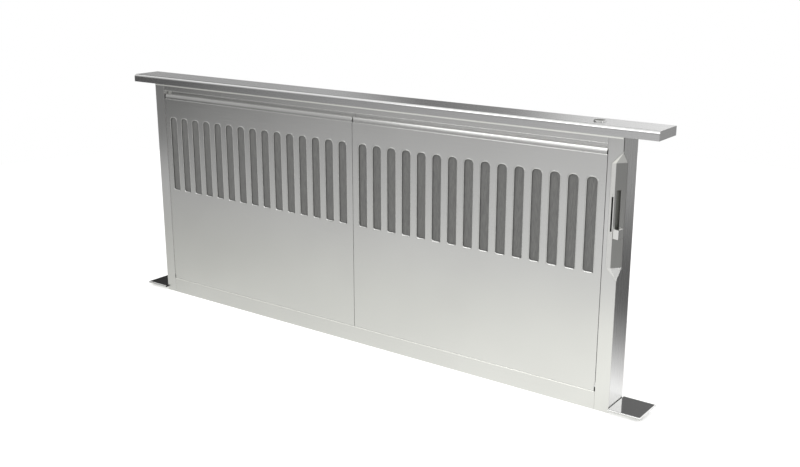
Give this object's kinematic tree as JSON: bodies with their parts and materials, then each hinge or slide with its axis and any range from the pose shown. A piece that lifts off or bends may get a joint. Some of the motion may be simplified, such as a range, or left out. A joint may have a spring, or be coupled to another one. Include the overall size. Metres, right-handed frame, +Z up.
{
  "type": "retractable downdraft vent",
  "caption": "Retractable downdraft vent: a slim raised head with slotted tilt-out filter covers, a capped top, end plates, and its lift, blower, damper and duct outlet in a housing below.",
  "frame": {"origin": "middle of the head's slot in the counter, level with the counter top, head stored raised", "axes": "+Z up, +X to the right seen from the cooktop, +Y to the back, away from the cooktop"},
  "size_m": [0.9146, 0.2064, 0.9889],
  "materials": {
    "brushed_stainless": "lengthwise brushed stainless sheet",
    "satin_metal_trim": "satin clear-anodised trim",
    "polished_stainless": "near-mirror polished stainless plate with rolled edge",
    "galvanised_sheet": "galvanised sheet with faint spangle",
    "filter_mesh": "knitted aluminium grease mesh",
    "filter_frame": "mill-finish aluminium channel",
    "ground_steel": "ground and threaded steel",
    "nut_bronze": "machined bronze",
    "bearing_plastic": "moulded acetal",
    "switch_plastic": "moulded black nylon",
    "cast_housing": "die-cast aluminium, as cast",
    "motor_paint": "semi-gloss black enamel",
    "foam_gasket": "closed-cell foam, matt",
    "circuit_board": "glass-epoxy board with potted parts",
    "zinc_screws": "bright zinc-plated, hexagon heads"
  },
  "bodies": {
    "housing": {"angle_gearboxes": "cast_housing", "blower_motor": "motor_paint", "box_screws": "zinc_screws", "control_board": "circuit_board", "counter_gasket": "foam_gasket", "damper_pin": "ground_steel", "duct_collar": "galvanised_sheet", "duct_neck": "galvanised_sheet", "end_plate_left": "polished_stainless", "end_plate_right": "polished_stainless", "guide_rails": "galvanised_sheet", "housing_back": "galvanised_sheet", "housing_bottom": "galvanised_sheet", "housing_front": "galvanised_sheet", "housing_sides": "galvanised_sheet", "junction_box": "galvanised_sheet", "junction_cover": "galvanised_sheet", "lift_motor": "motor_paint", "motor_saddle": "galvanised_sheet", "motor_screws": "zinc_screws", "plate_screws": "zinc_screws", "scroll_back": "galvanised_sheet", "scroll_band": "galvanised_sheet", "scroll_front": "galvanised_sheet", "upper_bearings": "bearing_plastic"},
    "head": {"cap": "brushed_stainless", "cap_base": "brushed_stainless", "button_switch": "switch_plastic", "stile_left": "brushed_stainless", "stile_right": "brushed_stainless", "side_panel_left": "brushed_stainless", "side_panel_right": "brushed_stainless", "back_panel": "brushed_stainless", "header_rail": "brushed_stainless", "bottom_rail": "brushed_stainless", "post_left": "galvanised_sheet", "post_right": "galvanised_sheet", "bottom_tie": "galvanised_sheet", "magnet_catches": "switch_plastic", "control_bezel": "satin_metal_trim", "slide_control": "switch_plastic", "lift_brackets": "galvanised_sheet", "lift_nuts": "nut_bronze", "guide_shoes": "bearing_plastic"},
    "button": {"push_button": "satin_metal_trim"},
    "slider": {"slider_knob": "satin_metal_trim"},
    "cover_left": {"filter_cover_left": "brushed_stainless", "filter_frame_left": "filter_frame", "filter_mesh_left": "filter_mesh"},
    "cover_right": {"filter_cover_right": "brushed_stainless", "filter_frame_right": "filter_frame", "filter_mesh_right": "filter_mesh"},
    "screw_left": {"lead_screw_left": "ground_steel"},
    "screw_right": {"lead_screw_right": "ground_steel"},
    "drive_shaft": {"cross_shaft": "ground_steel"},
    "fan": {"blower_wheel": "galvanised_sheet", "blower_shaft": "ground_steel"},
    "flap_front": {"damper_flap_front": "filter_frame"},
    "flap_rear": {"damper_flap_rear": "filter_frame"}
  },
  "joints": [
    {"name": "head_lift", "type": "slide", "parent": "housing", "child": "head", "axis": [0, 0, 1], "range_m": [-0.3477, 0]},
    {"name": "screw_left_spin", "type": "hinge", "parent": "housing", "child": "screw_left", "pos_m": [-0.427, -0.009, -0.3], "axis": [0, 0, 1], "range_deg": [-6278.6, 0]},
    {"name": "screw_right_spin", "type": "hinge", "parent": "housing", "child": "screw_right", "pos_m": [0.427, -0.009, -0.3], "axis": [0, 0, 1], "range_deg": [-6278.6, 0]},
    {"name": "shaft_spin", "type": "hinge", "parent": "housing", "child": "drive_shaft", "pos_m": [0, -0.009, -0.598], "axis": [1, 0, 0], "range_deg": [-6278.6, 0]},
    {"name": "cover_left_tilt", "type": "hinge", "parent": "head", "child": "cover_left", "pos_m": [-0.1962, -0.0199, 0.0249], "axis": [1, 0, 0], "range_deg": [0, 20]},
    {"name": "cover_right_tilt", "type": "hinge", "parent": "head", "child": "cover_right", "pos_m": [0.1962, -0.0199, 0.0249], "axis": [1, 0, 0], "range_deg": [0, 20]},
    {"name": "button_press", "type": "slide", "parent": "head", "child": "button", "axis": [0, 0, 1], "range_m": [-0.0012, 0], "stiffness_N_per_m": 600},
    {"name": "slider_slide", "type": "slide", "parent": "head", "child": "slider", "axis": [0, 0, 1], "range_m": [0, 0.045]},
    {"name": "fan_spin", "type": "hinge", "parent": "housing", "child": "fan", "pos_m": [0, -0.075, -0.465], "axis": [0, 1, 0], "continuous": true},
    {"name": "flap_front_swing", "type": "hinge", "parent": "housing", "child": "flap_front", "pos_m": [0.215, -0.102, -0.36619], "axis": [0, 0, 1], "range_deg": [0, 80], "stiffness_Nm_per_rad": 0.02},
    {"name": "flap_rear_swing", "type": "hinge", "parent": "housing", "child": "flap_rear", "pos_m": [0.215, -0.102, -0.36619], "axis": [0, 0, -1], "range_deg": [0, 80], "stiffness_Nm_per_rad": 0.02}
  ],
  "couplings": [
    {"joint": "screw_left_spin", "follows": "head_lift", "rad_per_m": 314.16},
    {"joint": "screw_right_spin", "follows": "head_lift", "rad_per_m": 314.16},
    {"joint": "shaft_spin", "follows": "head_lift", "rad_per_m": 314.16}
  ]
}
